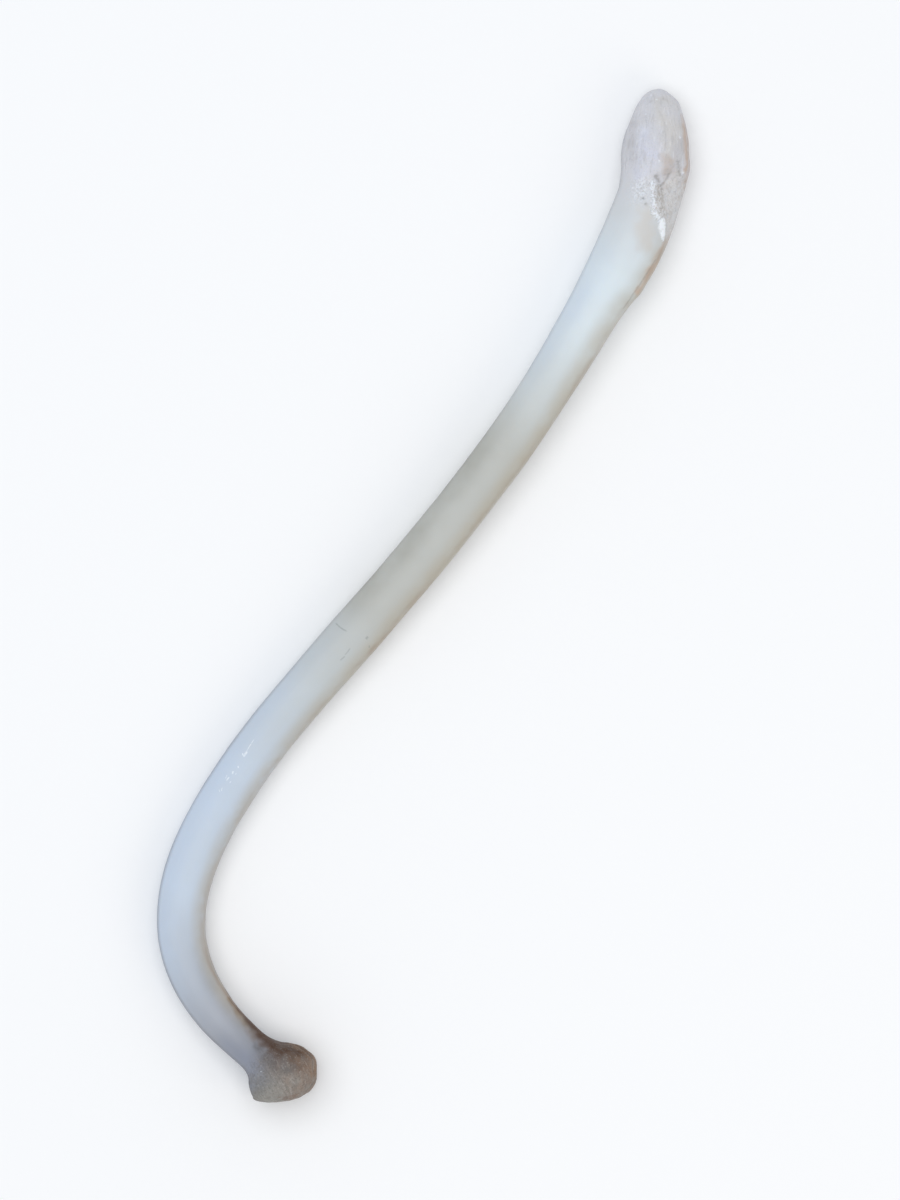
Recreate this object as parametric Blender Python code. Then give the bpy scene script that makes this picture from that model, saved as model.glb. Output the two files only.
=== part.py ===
# Raccoon baculum: one bone, lying on its side as it comes to rest on a table.
#
# The bone is lofted from oval rings along an axis that bends like a stretched S. Features such as
# the rough base cap, the belly groove and the cleft of the two-lobed tip are then pressed into or
# raised from that loft, and the finished bone is laid down on the three places that carry it.
#
# Metres, +Z up. +X runs from the base to the hooked tip, +Y is the belly side that the hook opens
# towards, and the bone's own left side faces down. "Distance" is always measured along the axis
# from the base end.

import math

import bmesh
import bpy
import numpy as np
from mathutils import Vector, geometry, noise

MM = 0.001

# Driving dimensions, in millimetres and degrees
LENGTH = 111.25               # along the axis, for 100 mm measured straight across
BASE_DOME = 5.0               # length over which the base end closes
TIP_DOME = 1.9                # length over which the tip's blunt face closes
TIP_BLUNTNESS = 1.15          # 2 would close it as an ellipse, less is blunter

# Rings lie close together where the detail is
AROUND = 36                   # points in each ring
BASE_RINGS, TIP_RINGS = 12, 9
BODY_RINGS = (
    # from, to, rings
    (BASE_DOME, 16.0, 24),    # rim and facets
    (16.0, 22.0, 9),          # flare into the shaft
    (22.0, 100.0, 54),        # shaft and hook
    (100.0, 105.0, 6),        # neck
    (105.0, LENGTH - TIP_DOME, 12),
)

# The axis leaves the base end at START_HEADING from +X, then turns through each bend in degrees,
# easing in and out between two distances. A positive turn is towards the belly.
START_HEADING = 25.0
BENDS = (
    # from, to, turn
    (-2.0, 19.5, -35.0),      # crook of the base
    (15.0, 61.5, -12.0),      # long sag of the shaft
    (61.5, 111.5, 42.5),      # the hook begins
    (83.0, 105.0, 51.0),      # tightest part of the hook
    (104.0, 115.0, -50.0),    # the head sets back on its neck
)
SIDE_SWAY = 0.30              # the shaft drifts this far out of its own plane

# Half-sizes of the oval rings, in millimetres
STATIONS = (
    # distance, belly, back, side
    (0.0, 2.70, 2.95, 2.35),
    (3.0, 2.62, 2.90, 2.50),
    (5.0, 2.78, 3.16, 2.70),
    (7.0, 3.18, 3.26, 2.92),
    (9.5, 3.06, 2.99, 2.78),
    (12.0, 3.08, 3.08, 2.76),
    (17.5, 2.98, 2.90, 2.45),
    (20.0, 2.68, 2.70, 2.25),
    (27.0, 2.52, 2.34, 2.04),
    (36.0, 2.48, 2.26, 1.98),
    (50.0, 2.42, 2.36, 1.98),
    (72.0, 2.42, 2.27, 2.05),
    (82.0, 2.22, 2.44, 2.10),
    (92.0, 2.27, 2.28, 2.08),
    (98.0, 2.22, 2.08, 2.00),
    (103.0, 1.94, 1.86, 1.98),
    (105.2, 1.96, 1.84, 2.20),
    (106.3, 2.60, 2.00, 2.85),
    (107.5, 3.76, 2.60, 3.60),
    (108.8, 3.64, 2.98, 3.92),
    (LENGTH, 2.90, 3.34, 3.90),
)
STATION_TABLE = np.array(STATIONS)
STATION_SLOPES = np.gradient(STATION_TABLE[:, 1:], STATION_TABLE[:, 0], axis=0)
SHAFT_ROUNDNESS = 2.1         # 2 is an ellipse, more is squarer
HEAD_ROUNDNESS = 2.45
HEAD_START, HEAD_FULL = 105.0, 107.5
HEAD_SPLAY = 0.14             # the two lobes spread wider on the belly side
FACE_LEAN = 0.11              # the blunt face leans: mm further for each mm towards the belly

# The rough cap over the base end stops at a rim that slants down towards the belly
CAP_RIM = 8.4                 # distance of the rim on the side of the bone
CAP_RIM_SLANT = 0.62          # mm nearer the end for each mm towards the belly
CAP_RIM_LOW = 2.0             # but no nearer than at this depth
CAP_LUMP, CAP_LUMP_HEIGHT = 1.7, 0.13
CAP_EDGE = (-0.4, 0.4)        # its lumps fade between these distances from the rim
LUMPS_PAST_CAP = 0.25         # share of their height that is left on the flare
FLARE_END = (12.0, 19.0)      # and dies out between these distances

# Below the rim a flat facet on each side narrows the belly half to a keel
FACET_DEPTH = 0.60
KEEL_HALF_WIDTH = 1.2         # the keel itself isn't pared

FACET_LEDGE = 0.45            # the rim drops to the facet over this length
CREST_SHARPNESS = 0.85        # and the crest rounds over into it across this width
CREST_HALF_WIDTH, CREST_LIP = 0.45, 0.16
CREST_SLOPE = 0.50            # mm towards the belly for each mm along the bone
FACET_FADE = (12.5, 15.5)

# Groove along the belly: where it starts, is deepest and ends, half-width, depth.
# Its two borders stand up by a share of its depth.
BELLY_GROOVES = (
    (18.0, 27.0, 58.0, 0.75, 0.26),
    (84.0, 98.0, 105.5, 0.80, 0.30),
)
GROOVE_BORDER = 1.2

# Cleft between the two lobes of the tip
CLEFT_START, CLEFT_FULL = 104.6, 109.0
CLEFT_HALF_WIDTH, CLEFT_DEPTH = 0.90, 1.25
CLEFT_ON_HEEL = 0.35          # share of the depth left on the heel
HEAD_LUMP, HEAD_LUMP_HEIGHT = 1.15, 0.07

# Rounded knobs and hollows: distance, degrees round from the belly, length, width, height
BUMPS = (
    (18.3, 14.0, 0.8, 0.6, 0.30),      # flake left on the belly edge of the flare
    (6.4, 205.0, 1.5, 1.3, 0.16),      # swelling of the cap on the back
    (7.2, 44.0, 0.50, 0.6, -0.34),     # pits along the rim, right side
    (8.3, 70.0, 0.60, 0.7, -0.34),
    (8.9, 84.0, 0.50, 0.5, -0.20),
    (7.4, -40.0, 0.55, 0.6, -0.34),    # and left side
    (8.5, -76.0, 0.60, 0.6, -0.30),
    (2.1, 120.0, 0.50, 0.5, -0.20),    # pits over the cap
    (3.9, 250.0, 0.60, 0.5, -0.22),
    (109.2, 158.0, 0.45, 0.4, -0.22),  # nicks where the heel meets the blunt face
    (109.5, 136.0, 0.40, 0.4, -0.18),
    (109.3, 205.0, 0.45, 0.4, -0.20),
)

SWELL_LENGTH, SWELL_HEIGHT = 7.0, 0.06   # the shaft is never perfectly even
CONTACT_WEAR = 0.07                      # flattened where it carries the bone
DOWNWARD = -0.9                          # a resting face looks at least this far down

BONE_COLOUR = (0.66, 0.64, 0.58, 1.0)
BONE_ROUGHNESS = 0.45


def ease(share):
    """Smooth step from 0 to 1."""
    share = min(1.0, max(0.0, share))
    return share * share * (3.0 - 2.0 * share)


def rising(value, start, full):
    return ease((value - start) / (full - start))


def bell(value):
    return math.exp(-value * value)


def heading(distance):
    """Angle of the axis from +X, in radians."""
    turned = sum(turn * rising(distance, start, end) for start, end, turn in BENDS)
    return math.radians(START_HEADING + turned)


def walk_axis(distances):
    """Centres of the rings: the axis is walked in small steps along its heading."""
    steps_per_ring = 8
    centre, centres = Vector((0.0, 0.0, 0.0)), []
    last = 0.0
    for distance in distances:
        step = (distance - last) / steps_per_ring
        for i in range(steps_per_ring):
            angle = heading(last + (i + 0.5) * step)
            centre = centre + Vector((math.cos(angle), math.sin(angle), 0.0)) * step
        last = distance
        sway = SIDE_SWAY * math.sin(2.0 * math.pi * distance / LENGTH)
        centres.append(centre + Vector((0.0, 0.0, sway)))
    return centres


def half_sizes(distance):
    """Belly, back and side half-sizes, on a smooth curve through the stations."""
    where, sizes = STATION_TABLE[:, 0], STATION_TABLE[:, 1:]
    i = int(np.clip(np.searchsorted(where, distance) - 1, 0, len(where) - 2))
    span = where[i + 1] - where[i]
    t = (distance - where[i]) / span
    return (
        (1 + 2 * t) * (1 - t) ** 2 * sizes[i]
        + t * (1 - t) ** 2 * span * STATION_SLOPES[i]
        + t * t * (3 - 2 * t) * sizes[i + 1]
        + t * t * (t - 1) * span * STATION_SLOPES[i + 1]
    )


def closing(distance):
    """How far the ends have closed: 1 along the bone, 0 at its two poles."""
    if distance < BASE_DOME:
        return math.sqrt(max(0.0, 1.0 - (1.0 - distance / BASE_DOME) ** 2))
    past = (distance - (LENGTH - TIP_DOME)) / TIP_DOME
    if past > 0.0:
        return max(0.0, 1.0 - past * past) ** (1.0 / TIP_BLUNTNESS)
    return 1.0


def ring_distances():
    """Even steps along the body, and steps that follow a quarter circle at the two ends."""
    quarter = math.pi / 2
    distances = [
        BASE_DOME * (1.0 - math.cos(quarter * (i + 0.5) / BASE_RINGS))
        for i in range(BASE_RINGS)
    ]
    for start, end, rings in BODY_RINGS:
        distances += list(np.linspace(start, end, rings, endpoint=False))
    distances += [
        LENGTH - TIP_DOME * (1.0 - math.sin(quarter * i / TIP_RINGS)) for i in range(TIP_RINGS)
    ]
    return distances


def oval(angle, belly, back, side, distance):
    """A point of a ring: how far it lies towards the belly, and out to the side."""
    on_head = rising(distance, HEAD_START, HEAD_FULL)
    roundness = SHAFT_ROUNDNESS + (HEAD_ROUNDNESS - SHAFT_ROUNDNESS) * on_head
    c, s = math.cos(angle), math.sin(angle)
    depth = (belly if c > 0 else back) * math.copysign(abs(c) ** (2 / roundness), c)
    splay = 1.0 + HEAD_SPLAY * on_head * c
    return depth, side * splay * math.copysign(abs(s) ** (2 / roundness), s)


def cap_rim(depth):
    return CAP_RIM - CAP_RIM_SLANT * min(depth, CAP_RIM_LOW)


def facet_cut(distance, depth, out):
    """How much the side is pared away towards the belly, below the cap's rim."""
    past_crest = depth - CREST_SLOPE * (distance - CAP_RIM)
    below_rim = ease((distance - cap_rim(depth)) / FACET_LEDGE)
    pared = FACET_DEPTH * ease(past_crest / CREST_SHARPNESS)
    pared -= CREST_LIP * bell(past_crest / CREST_HALF_WIDTH)
    off_keel = min(1.0, abs(out) / KEEL_HALF_WIDTH)
    return below_rim * pared * off_keel * (1.0 - rising(distance, *FACET_FADE))


def belly_groove(distance, depth, side):
    """The groove lies on the belly half only, between its two raised borders."""
    pressed = 0.0
    if depth > 0.0:
        for start, deepest, end, half_width, deep in BELLY_GROOVES:
            along = rising(distance, start, deepest) * (1.0 - rising(distance, deepest, end))
            across = side / half_width
            pressed += deep * along * (1.0 - GROOVE_BORDER * across**2) * bell(across)
    return pressed


def cleft(distance, depth, side, belly):
    """The cleft runs from the belly over the blunt face, and dies out on the heel."""
    along = rising(distance, CLEFT_START, CLEFT_FULL)
    towards_heel = ease(0.5 - depth / belly)
    share = 1.0 - (1.0 - CLEFT_ON_HEEL) * towards_heel
    return CLEFT_DEPTH * along * share * bell(side / CLEFT_HALF_WIDTH)


def bumps(distance, angle, radius):
    raised = 0.0
    for where, degrees, length, width, height in BUMPS:
        apart = (angle - math.radians(degrees) + math.pi) % (2 * math.pi) - math.pi
        raised += height * bell((distance - where) / length) * bell(apart * radius / width)
    return raised


def roughness_at(point, distance, depth):
    """Lumps on the cap and on the head, and the long swells of the shaft."""
    past_rim = distance - cap_rim(depth)
    on_cap = 1.0 - (1.0 - LUMPS_PAST_CAP) * rising(past_rim, *CAP_EDGE)
    on_base = 1.0 - rising(distance, *FLARE_END)
    on_head = rising(distance, HEAD_START, HEAD_FULL)
    lumps = CAP_LUMP_HEIGHT * on_cap * on_base * noise.noise(point / CAP_LUMP)
    lumps += HEAD_LUMP_HEIGHT * on_head * noise.noise(point / HEAD_LUMP)
    return lumps + SWELL_HEIGHT * noise.noise(point / SWELL_LENGTH)


def add_ring(bone, places, distance, centre):
    """One oval of vertices, each noted with its distance, angle, depth and place to the side."""
    belly, back, side = half_sizes(distance) * closing(distance)
    turned = heading(distance)
    to_belly = Vector((-math.sin(turned), math.cos(turned), 0.0))
    along = Vector((math.cos(turned), math.sin(turned), 0.0))
    leaning = to_belly + along * FACE_LEAN * rising(distance, HEAD_START, LENGTH)
    ring = []
    for i in range(AROUND):
        angle = 2.0 * math.pi * i / AROUND
        depth, out = oval(angle, belly, back, side, distance)
        vertex = bone.verts.new(centre + leaning * depth + Vector((0.0, 0.0, out)))
        places[vertex] = (distance, angle, depth, out)
        ring.append(vertex)
    return ring


def close_end(bone, places, ring, centre, distance):
    pole = bone.verts.new(centre)
    places[pole] = (distance, 0.0, 0.0, 0.0)
    for near, far in zip(ring, ring[1:] + ring[:1]):
        bone.faces.new((pole, near, far))


def loft():
    bone, places = bmesh.new(), {}
    distances = [0.0, *ring_distances(), LENGTH]
    centres = walk_axis(distances)
    rings = [
        add_ring(bone, places, distance, centre)
        for distance, centre in zip(distances[1:-1], centres[1:-1])
    ]
    for near, far in zip(rings, rings[1:]):
        for i in range(AROUND):
            j = (i + 1) % AROUND
            bone.faces.new((near[i], near[j], far[j], far[i]))
    close_end(bone, places, rings[0], centres[0], 0.0)
    close_end(bone, places, rings[-1], centres[-1], LENGTH)
    bmesh.ops.recalc_face_normals(bone, faces=bone.faces)
    bone.normal_update()
    return bone, places


def shape_features(bone, places):
    """Moves every vertex along its normal, or inwards from the side for the facets."""
    moves = {}
    for vertex, (distance, angle, depth, out) in places.items():
        belly, _, side = half_sizes(distance)
        along_normal = bumps(distance, angle, max(belly, side))
        along_normal += roughness_at(vertex.co, distance, depth)
        along_normal -= belly_groove(distance, depth, out)
        along_normal -= cleft(distance, depth, out, belly)
        inwards = Vector((0.0, 0.0, -math.copysign(facet_cut(distance, depth, out), out)))
        moves[vertex] = vertex.normal * along_normal + inwards
    for vertex, move in moves.items():
        vertex.co += move


def centre_of_mass(bone):
    total, weighted = 0.0, Vector((0.0, 0.0, 0.0))
    for face in bone.faces:
        first = face.verts[0].co
        for near, far in zip(face.verts[1:], face.verts[2:]):
            share = first.dot(near.co.cross(far.co)) / 6.0
            total += share
            weighted += (first + near.co + far.co) * share / 4.0
    return weighted / total


def resting_direction(bone):
    """Down, for the bone: the normal of the hull face that the weight falls inside."""
    weight = centre_of_mass(bone)
    hull = bmesh.new()
    for vertex in bone.verts:
        hull.verts.new(vertex.co)
    bmesh.ops.convex_hull(hull, input=hull.verts)
    hull.normal_update()
    for face in hull.faces:
        corners = [vertex.co for vertex in face.verts]
        normal = face.normal
        if normal.dot(corners[0] - weight) < 0.0:
            normal = -normal
        foot = weight + normal * normal.dot(corners[0] - weight)
        if normal.z < DOWNWARD and geometry.intersect_point_tri(foot, *corners[:3]):
            found = normal.copy()
            hull.free()
            return found
    raise RuntimeError("no face of the hull lies under the weight")


def lay_down(bone):
    """Turns the bone to rest, wears its contacts flat, and sets the origin under its middle."""
    down = Vector((0.0, 0.0, -1.0))
    turn = resting_direction(bone).rotation_difference(down).to_matrix()
    for vertex in bone.verts:
        vertex.co = turn @ vertex.co
    points = np.array([vertex.co for vertex in bone.verts])
    low, high = points.min(axis=0), points.max(axis=0)
    origin = Vector(((low[0] + high[0]) / 2, (low[1] + high[1]) / 2, low[2] + CONTACT_WEAR))
    for vertex in bone.verts:
        vertex.co = vertex.co - origin
        vertex.co.z = max(0.0, vertex.co.z)


def bone_material():
    material = bpy.data.materials.new("dry bone")
    material.use_nodes = True
    shader = material.node_tree.nodes["Principled BSDF"]
    shader.inputs["Base Color"].default_value = BONE_COLOUR
    shader.inputs["Roughness"].default_value = BONE_ROUGHNESS
    shader.inputs["Metallic"].default_value = 0.0
    return material


def build():
    for old in list(bpy.data.objects):
        bpy.data.objects.remove(old)
    bone, places = loft()
    shape_features(bone, places)
    lay_down(bone)
    bmesh.ops.scale(bone, vec=(MM, MM, MM), verts=bone.verts)
    bmesh.ops.triangulate(bone, faces=bone.faces)
    mesh = bpy.data.meshes.new("baculum")
    bone.to_mesh(mesh)
    bone.free()
    mesh.materials.append(bone_material())
    mesh.shade_smooth()
    baculum = bpy.data.objects.new("baculum", mesh)
    bpy.context.scene.collection.objects.link(baculum)
    return baculum


build()
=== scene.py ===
# A raccoon's penis bone, cleaned and dried, lying on its side.
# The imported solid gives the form. Here it gets its fine surface, from the chipped crest and the
# pits of the base to the grain of the two-lobed head, and the finish of dry bone.

import math
from types import SimpleNamespace

import bmesh
import bpy
import numpy as np
from mathutils import Matrix, Vector, noise


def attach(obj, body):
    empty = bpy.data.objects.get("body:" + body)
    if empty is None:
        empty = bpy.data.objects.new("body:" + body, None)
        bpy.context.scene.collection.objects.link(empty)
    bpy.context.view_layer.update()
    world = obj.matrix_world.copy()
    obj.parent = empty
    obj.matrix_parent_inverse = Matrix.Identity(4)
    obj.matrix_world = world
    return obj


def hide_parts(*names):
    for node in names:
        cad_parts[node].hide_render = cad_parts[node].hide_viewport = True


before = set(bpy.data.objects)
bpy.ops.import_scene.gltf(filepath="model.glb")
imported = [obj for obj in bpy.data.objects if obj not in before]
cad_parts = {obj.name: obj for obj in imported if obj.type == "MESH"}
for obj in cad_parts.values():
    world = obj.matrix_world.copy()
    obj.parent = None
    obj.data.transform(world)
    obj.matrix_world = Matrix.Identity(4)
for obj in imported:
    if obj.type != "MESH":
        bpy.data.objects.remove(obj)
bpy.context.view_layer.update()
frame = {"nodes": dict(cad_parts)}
print("frame loaded:", ", ".join(frame["nodes"]))

mm = 0.001


def linearColour(hexText):
    # sRGB hex to the linear values that the shader works in
    shares = [int(hexText[i:i + 2], 16) / 255 for i in (1, 3, 5)]
    return (*[c / 12.92 if c <= 0.04045 else ((c + 0.055) / 1.055) ** 2.4 for c in shares], 1.0)


def addNode(tree, kind, inputs=None, output=0, **settings):
    # adds a node, sets or links its inputs, and gives back one of its outputs
    node = tree.nodes.new(kind)
    for name, value in settings.items():
        setattr(node, name, value)
    for socket, value in (inputs or {}).items():
        if isinstance(value, bpy.types.NodeSocket):
            tree.links.new(value, node.inputs[socket])
        else:
            node.inputs[socket].default_value = value
    return node.outputs[output] if node.outputs else None


def rise(value, start, full):
    # smooth step from 0 to 1, also downwards where full is less than start
    share = np.clip((value - start) / (full - start), 0.0, 1.0)
    return share * share * (3.0 - 2.0 * share)


def cloud(points, size):
    # smooth noise, about -0.6 to 0.6
    return np.array([noise.noise(Vector(p / size)) for p in points])


# Where each point of the bone is. Distance is from the base end, depth is towards the belly and
# side is up, all from the axis that the solid was lofted along, in millimetres.

boneAxis = {
    "start": (-50.298, 6.347, 2.405),                   # base end, where the bone lies
    "restNormal": (-0.016866, -0.088186, -0.995961),    # faced down once the bone was laid
    "length": 111.25,
    "startHeading": 25.0,
    "bends": [                                          # from, to, degrees towards the belly
        (-2.0, 19.5, -35.0),
        (15.0, 61.5, -12.0),
        (61.5, 111.5, 42.5),
        (83.0, 105.0, 51.0),
        (104.0, 115.0, -50.0),
    ],
    "sideSway": 0.30,
    "step": 0.1,
}


def measureAlongBone(points, axis):
    down = Vector((0.0, 0.0, -1.0))
    laid = np.array(Vector(axis["restNormal"]).rotation_difference(down).to_matrix())
    local = (points - np.array(axis["start"])) @ laid
    distance = np.arange(0.0, axis["length"] + axis["step"], axis["step"])
    heading = np.full(len(distance), axis["startHeading"])
    for start, end, turn in axis["bends"]:
        heading += turn * rise(distance, start, end)
    heading = np.radians(heading)
    along = np.stack([np.cos(heading), np.sin(heading)], axis=1)
    toBelly = np.stack([-np.sin(heading), np.cos(heading)], axis=1)
    centres = (np.cumsum(along, axis=0) - along[0]) * axis["step"]
    nearest = [int(np.argmin(((centres - p) ** 2).sum(axis=1))) for p in local[:, :2]]
    offset = local[:, :2] - centres[nearest]
    sway = axis["sideSway"] * np.sin(2.0 * math.pi * distance[nearest] / axis["length"])
    return {
        "distance": distance[nearest] + (offset * along[nearest]).sum(axis=1),
        "depth": (offset * toBelly[nearest]).sum(axis=1),
        "side": local[:, 2] - sway,
    }


def keepResult(piece, modifier):
    # the evaluated piece becomes a plain mesh
    evaluated = piece.evaluated_get(bpy.context.evaluated_depsgraph_get())
    mesh = bpy.data.meshes.new_from_object(evaluated)
    piece.modifiers.remove(modifier)
    piece.data = mesh


def boneFromSolid(solid, levels, weldWithin=0.001, pairWithin=40.0):
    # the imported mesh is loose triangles: weld their corners where they lie within so many mm,
    # pair them into quads where they turn by less than so many degrees, then refine them
    form = bmesh.new()
    form.from_mesh(solid.data)
    bmesh.ops.remove_doubles(form, verts=form.verts, dist=mm * weldWithin)
    most = math.radians(pairWithin)
    bmesh.ops.join_triangles(
        form, faces=form.faces, angle_face_threshold=most, angle_shape_threshold=most
    )
    mesh = bpy.data.meshes.new("boneForm")
    form.to_mesh(mesh)
    form.free()
    points = np.array([v.co for v in mesh.vertices]) / mm
    for name, values in measureAlongBone(points, boneAxis).items():
        mesh.attributes.new(name, "FLOAT", "POINT").data.foreach_set("value", values)
    bone = bpy.data.objects.new("baculumBone", mesh)
    bpy.context.scene.collection.objects.link(bone)
    finer = bone.modifiers.new("finer", "SUBSURF")
    finer.levels = finer.render_levels = levels
    keepResult(bone, finer)
    return bone


# One-off features. Places are (distance, depth), upper side 1 or lower side -1, sizes in mm.
# A line is drawn through points of (distance, depth, half-width).

baseForm = {
    "crest": [               # ragged edge of the rough facet
        (1, [(8.95, 0.15, 0.10), (9.4, 0.30, 0.18), (9.9, 0.48, 0.13), (10.55, 0.72, 0.13),
             (11.05, 0.97, 0.15), (11.5, 1.25, 0.20), (11.8, 1.60, 0.18)]),
        (-1, [(8.8, 0.1, 0.15), (9.9, 0.7, 0.15), (10.9, 1.1, 0.15), (12.2, 1.9, 0.2)]),
    ],
    "crestHeight": 0.09,
    "crestBright": 0.6,
    "crestGaps": (-0.40, 0.05),    # noise where the crest starts and is full, between its gaps
    "chip": [                # the largest flake, at the crest's foot
        (1, [(11.70, 2.02, 0.10), (12.05, 2.08, 0.28), (12.50, 2.22, 0.36), (12.95, 2.46, 0.24),
             (13.45, 2.72, 0.05)]),
    ],
    "chipHeight": 0.07,
    "grooves": [             # deep first, then the line
        (0.07, 1, [(8.32, 0.26, 0.12), (8.50, 0.52, 0.20), (8.75, 0.76, 0.10)]),
        (0.06, 1, [(9.10, 0.92, 0.10), (8.70, 1.18, 0.09), (8.25, 1.34, 0.11),
                   (7.60, 1.66, 0.09)]),
        (0.05, 1, [(6.80, 2.14, 0.18), (7.30, 2.30, 0.20), (7.80, 2.42, 0.12)]),
        (0.03, 1, [(15.2, 2.84, 0.04), (17.0, 2.70, 0.07), (18.8, 2.55, 0.07),
                   (20.4, 2.42, 0.04)]),
        (0.07, -1, [(8.30, 0.00, 0.16), (8.10, 0.60, 0.22), (7.50, 1.40, 0.16)]),
        (0.05, -1, [(7.30, 1.90, 0.14), (6.90, 2.50, 0.18)]),
    ],
    "grooveDark": (0.3, 4.0),    # how dark the dirt and painted shade in a groove are, and how much darker for each mm of depth
    "pitDark": (0.2, 6.0),
    "pits": [                # distance, depth, side, radius, deep
        (10.65, -0.23, 1, 0.12, 0.09),
        (11.06, 0.15, 1, 0.15, 0.04),
        (9.60, 0.80, 1, 0.14, 0.03),
        (10.10, 1.05, 1, 0.13, 0.03),
        (9.30, 1.85, 1, 0.14, 0.03),
        (11.20, 2.35, 1, 0.12, 0.03),
        (1.25, -0.62, 1, 0.16, 0.02),
        (1.10, 0.55, 1, 0.16, 0.02),
        (10.90, -0.60, -1, 0.12, 0.08),
        (9.90, 1.20, -1, 0.15, 0.04),
    ],
    "flecks": [              # small bright flakes: distance, depth, side, radius
        (1.15, -0.07, 1, 0.11),
        (0.72, -0.60, 1, 0.12),
        (2.50, -1.15, 1, 0.09),
        (4.65, 2.08, 1, 0.15),
        (6.90, 0.52, 1, 0.10),
        (7.50, 2.62, 1, 0.16),
        (9.25, -0.65, 1, 0.13),
        (9.95, -1.52, 1, 0.10),
        (10.65, -1.00, 1, 0.10),
        (10.15, -0.38, 1, 0.10),
    ],
    "fleckHeight": 0.02,
    "fleckBright": 0.65,
    "facetSlope": 0.50,      # the facet's grain runs towards the belly by this for each mm along
    "facetGrain": (1.3, 0.24, 0.03),    # long, wide, high
    "facetTop": [            # depth, and the distance of the facet's upper end there
        (0.5, 8.7), (1.0, 9.1), (1.7, 7.7), (2.3, 7.1), (3.2, 7.7),
    ],
    "facetPastCrest": (-0.1, 0.4, 0.3),    # where it starts and is full, and how ragged it is
    "facetPastTop": (-0.2, 0.6, 0.4),
    "facetEnd": (14.0, 12.4),              # distance where it starts and is full
    "flakyPlace": (9.8, -0.7, 1.2, 0.85),    # distance, depth, half-sizes
    "flakyHeight": 0.03,
    "flakyMost": 0.7,
    "capEnd": (10.0, 7.5),
    "capLumps": 0.05,
}
tipForm = {
    "headStart": (105.0, 107.2),
    "lumps": 0.07,
    "corners": [             # distance, depth, half-sizes, height
        (108.7, 3.5, 0.6, 0.7, 0.30),
    ],
    "pits": [
        (109.92, -1.25, 1, 0.20, 0.12),
        (110.32, -0.80, 1, 0.17, 0.10),
        (109.25, 2.45, 1, 0.17, 0.04),
        (109.95, 2.02, 1, 0.15, 0.04),
        (108.20, 0.85, 1, 0.16, 0.03),
        (107.55, -0.35, 1, 0.14, 0.03),
        (109.70, -1.90, -1, 0.20, 0.12),
        (110.20, 0.90, -1, 0.18, 0.09),
    ],
    "flecks": [
        (107.12, -0.64, 1, 0.08),
    ],
}

# Stains and painted shade, as soft lines through points of (distance, depth, half-width), on both
# sides.
stainAndShadeLines = {
    "amber": [
        [(100.0, 1.90, 0.20), (103.0, 1.60, 0.40), (105.0, 1.40, 0.52), (106.3, 1.80, 0.55),
         (107.3, 2.55, 0.60), (108.3, 3.00, 0.75)],
    ],
    "deepBrown": [
        [(98.0, 2.15, 0.08), (101.0, 2.05, 0.18), (103.0, 1.95, 0.36), (104.3, 1.86, 0.52),
         (105.4, 1.86, 0.68), (106.3, 2.06, 0.80), (107.0, 2.62, 0.78), (107.6, 3.25, 0.62),
         (108.2, 3.75, 0.30)],
    ],
    "headShade": [
        [(105.2, 0.7, 0.40), (106.6, 0.8, 0.65), (107.6, 1.3, 0.80), (108.4, 2.1, 0.70)],
    ],
    "lobeTan": [
        [(106.3, 2.60, 0.14), (107.0, 3.15, 0.20), (107.6, 3.60, 0.26), (108.3, 3.80, 0.36),
         (109.0, 3.80, 0.40), (109.6, 3.30, 0.35)],
    ],
    "rust": [[(110.35, -0.4, 0.12), (110.7, 0.4, 0.2), (110.6, 1.4, 0.12)]],
    # darker patches along the head's back edge
    "soot": [
        [(106.5, -1.85, 0.08), (107.3, -2.30, 0.16), (107.9, -2.65, 0.10)],
        [(109.1, -2.70, 0.08), (109.7, -2.45, 0.13), (110.2, -1.80, 0.08)],
    ],
    "blush": [[(6.6, 1.00, 0.45), (7.4, 1.40, 0.65), (8.3, 1.60, 0.50), (9.1, 1.35, 0.25)]],
    # partly tan stain, partly a painted warm reflection along the belly edge
    "tan": [
        [(2.6, 2.10, 0.10), (4.0, 2.60, 0.24), (5.5, 2.88, 0.30), (7.0, 3.12, 0.36),
         (8.6, 3.15, 0.36)],
        [(12.4, 3.15, 0.10), (14.0, 3.08, 0.26), (16.0, 2.95, 0.32), (18.5, 2.72, 0.22)],
    ],
    "mottle": [[(9.2, 0.85, 0.18), (9.9, 1.10, 0.28), (10.7, 1.45, 0.28), (11.3, 1.90, 0.2)]],
    "cream": [
        [(1.5, 0.5, 0.8), (4.2, 1.2, 1.1), (6.0, 1.6, 0.8)],
        [(11.7, 0.3, 0.7), (13.2, 0.9, 1.0), (14.6, 1.5, 0.7)],
    ],
    # painted shade near the base's belly and back outlines
    "drab": [
        [(5.0, 2.1, 0.4), (6.2, 1.9, 0.6), (7.4, 2.0, 0.6)],
        [(3.4, -2.2, 0.4), (5.2, -2.4, 0.5), (7.2, -1.9, 0.45)],
    ],
    "lavender": [[(4.6, -1.2, 0.8), (6.4, -0.7, 1.0), (8.2, -1.2, 0.8)]],
}

# How strong the narrow line along each edge is, at distances along the bone. The belly's line is
# partly brown stain and partly a painted warm reflection; the back's line is painted shade.
edgeLines = {
    "bellyLine": [
        (2.2, 0.0), (3.5, 0.35), (8.2, 0.55), (9.2, 0.1), (12.0, 0.2), (13.5, 0.6), (19.0, 0.55),
        (23.0, 0.35), (50.0, 0.30), (54.0, 0.6), (62.0, 0.5), (68.0, 0.25), (92.0, 0.35),
        (97.0, 0.7), (103.0, 0.9), (108.0, 0.4), (111.0, 0.2),
    ],
    "backLine": [
        (0.0, 0.1), (5.0, 0.5), (20.0, 0.4), (30.0, 0.3), (60.0, 0.35), (73.0, 0.8),
        (104.0, 1.0), (106.5, 0.8), (108.5, 0.2), (111.0, 0.4),
    ],
}


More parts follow.
